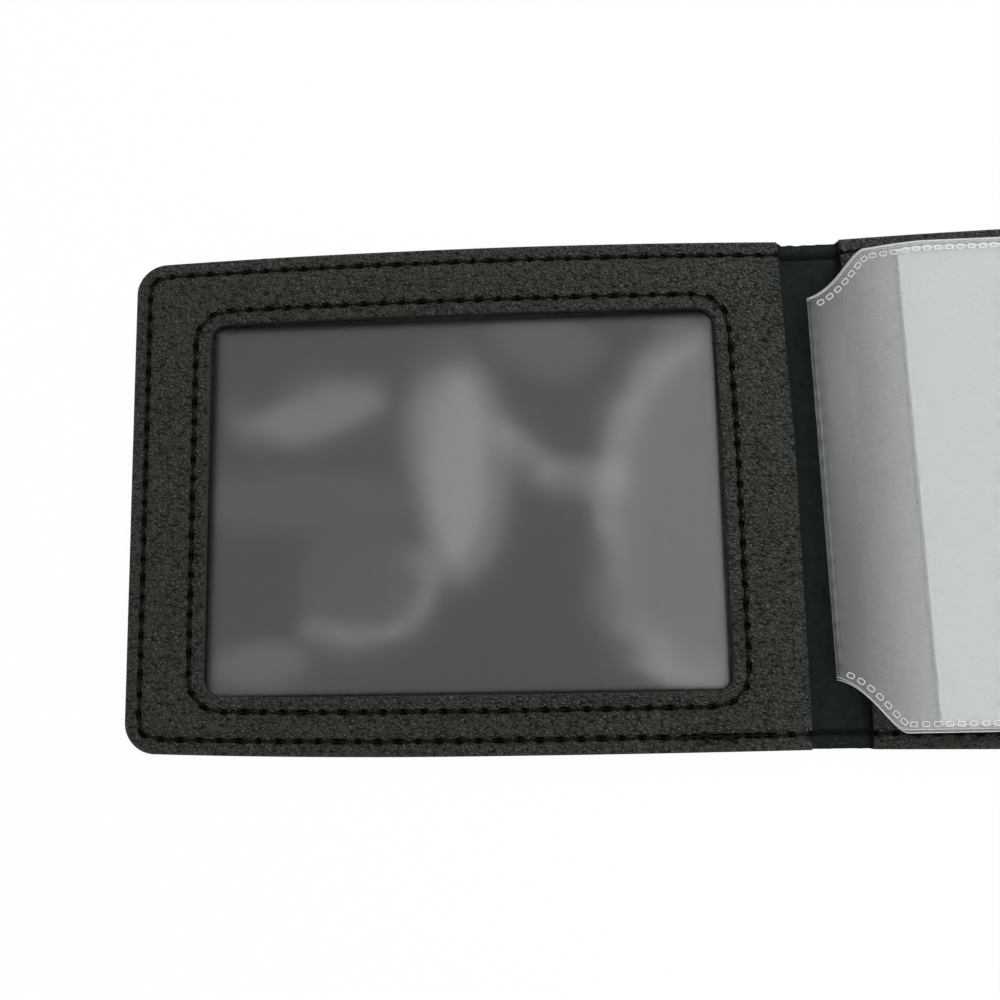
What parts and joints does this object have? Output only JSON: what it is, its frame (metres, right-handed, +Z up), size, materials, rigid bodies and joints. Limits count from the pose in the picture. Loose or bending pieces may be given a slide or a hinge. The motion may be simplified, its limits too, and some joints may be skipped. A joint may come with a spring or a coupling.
{
  "type": "bifold document holder",
  "caption": "Open bifold leather document holder with a clear film window panel, a plain pocket panel and clear pocket leaves sewn into its soft lined spine.",
  "frame": {"origin": "under the middle of the spine, on the surface that the open holder lies on", "axes": "+X from the window cover to the pocket cover, +Y along the spine towards the top edge, +Z up, out of the inner faces"},
  "size_m": [0.205, 0.075, 0.0041],
  "materials": {
    "leather": "fine pebble grain, satin",
    "lining_cloth": "matte plain weave",
    "sewing_thread": "twisted, matte",
    "clear_film": "clear, glossy"
  },
  "bodies": {
    "right_cover": {"cover_right": "leather", "lining_right": "lining_cloth", "pocket_panel": "leather", "seam_thread_right": "sewing_thread", "seam_underthread_right": "sewing_thread", "binding_margin": "clear_film", "binding_thread": "sewing_thread", "binding_underthread": "sewing_thread"},
    "left_cover": {"cover_left": "leather", "lining_left": "lining_cloth", "window_film": "clear_film", "window_panel": "leather", "seam_thread_left": "sewing_thread", "seam_underthread_left": "sewing_thread", "window_thread": "sewing_thread", "window_underthread": "sewing_thread"},
    "lower_leaf": {"leaf_2_sheet": "clear_film", "leaf_2_front_film": "clear_film", "leaf_2_back_film": "clear_film"},
    "upper_leaf": {"leaf_1_sheet": "clear_film", "leaf_1_front_film": "clear_film", "leaf_1_back_film": "clear_film"}
  },
  "joints": [
    {"name": "cover_fold", "type": "hinge", "parent": "right_cover", "child": "left_cover", "pos_m": [0, 0, 0.00345], "axis": [0, 1, 0], "range_deg": [0, 180]},
    {"name": "lower_leaf_turn", "type": "hinge", "parent": "right_cover", "child": "lower_leaf", "pos_m": [0, 0, 0.00345], "axis": [0, 1, 0], "range_deg": [-180, 0]},
    {"name": "upper_leaf_turn", "type": "hinge", "parent": "lower_leaf", "child": "upper_leaf", "pos_m": [0, 0, 0.00345], "axis": [0, 1, 0], "range_deg": [-180, 0]}
  ]
}
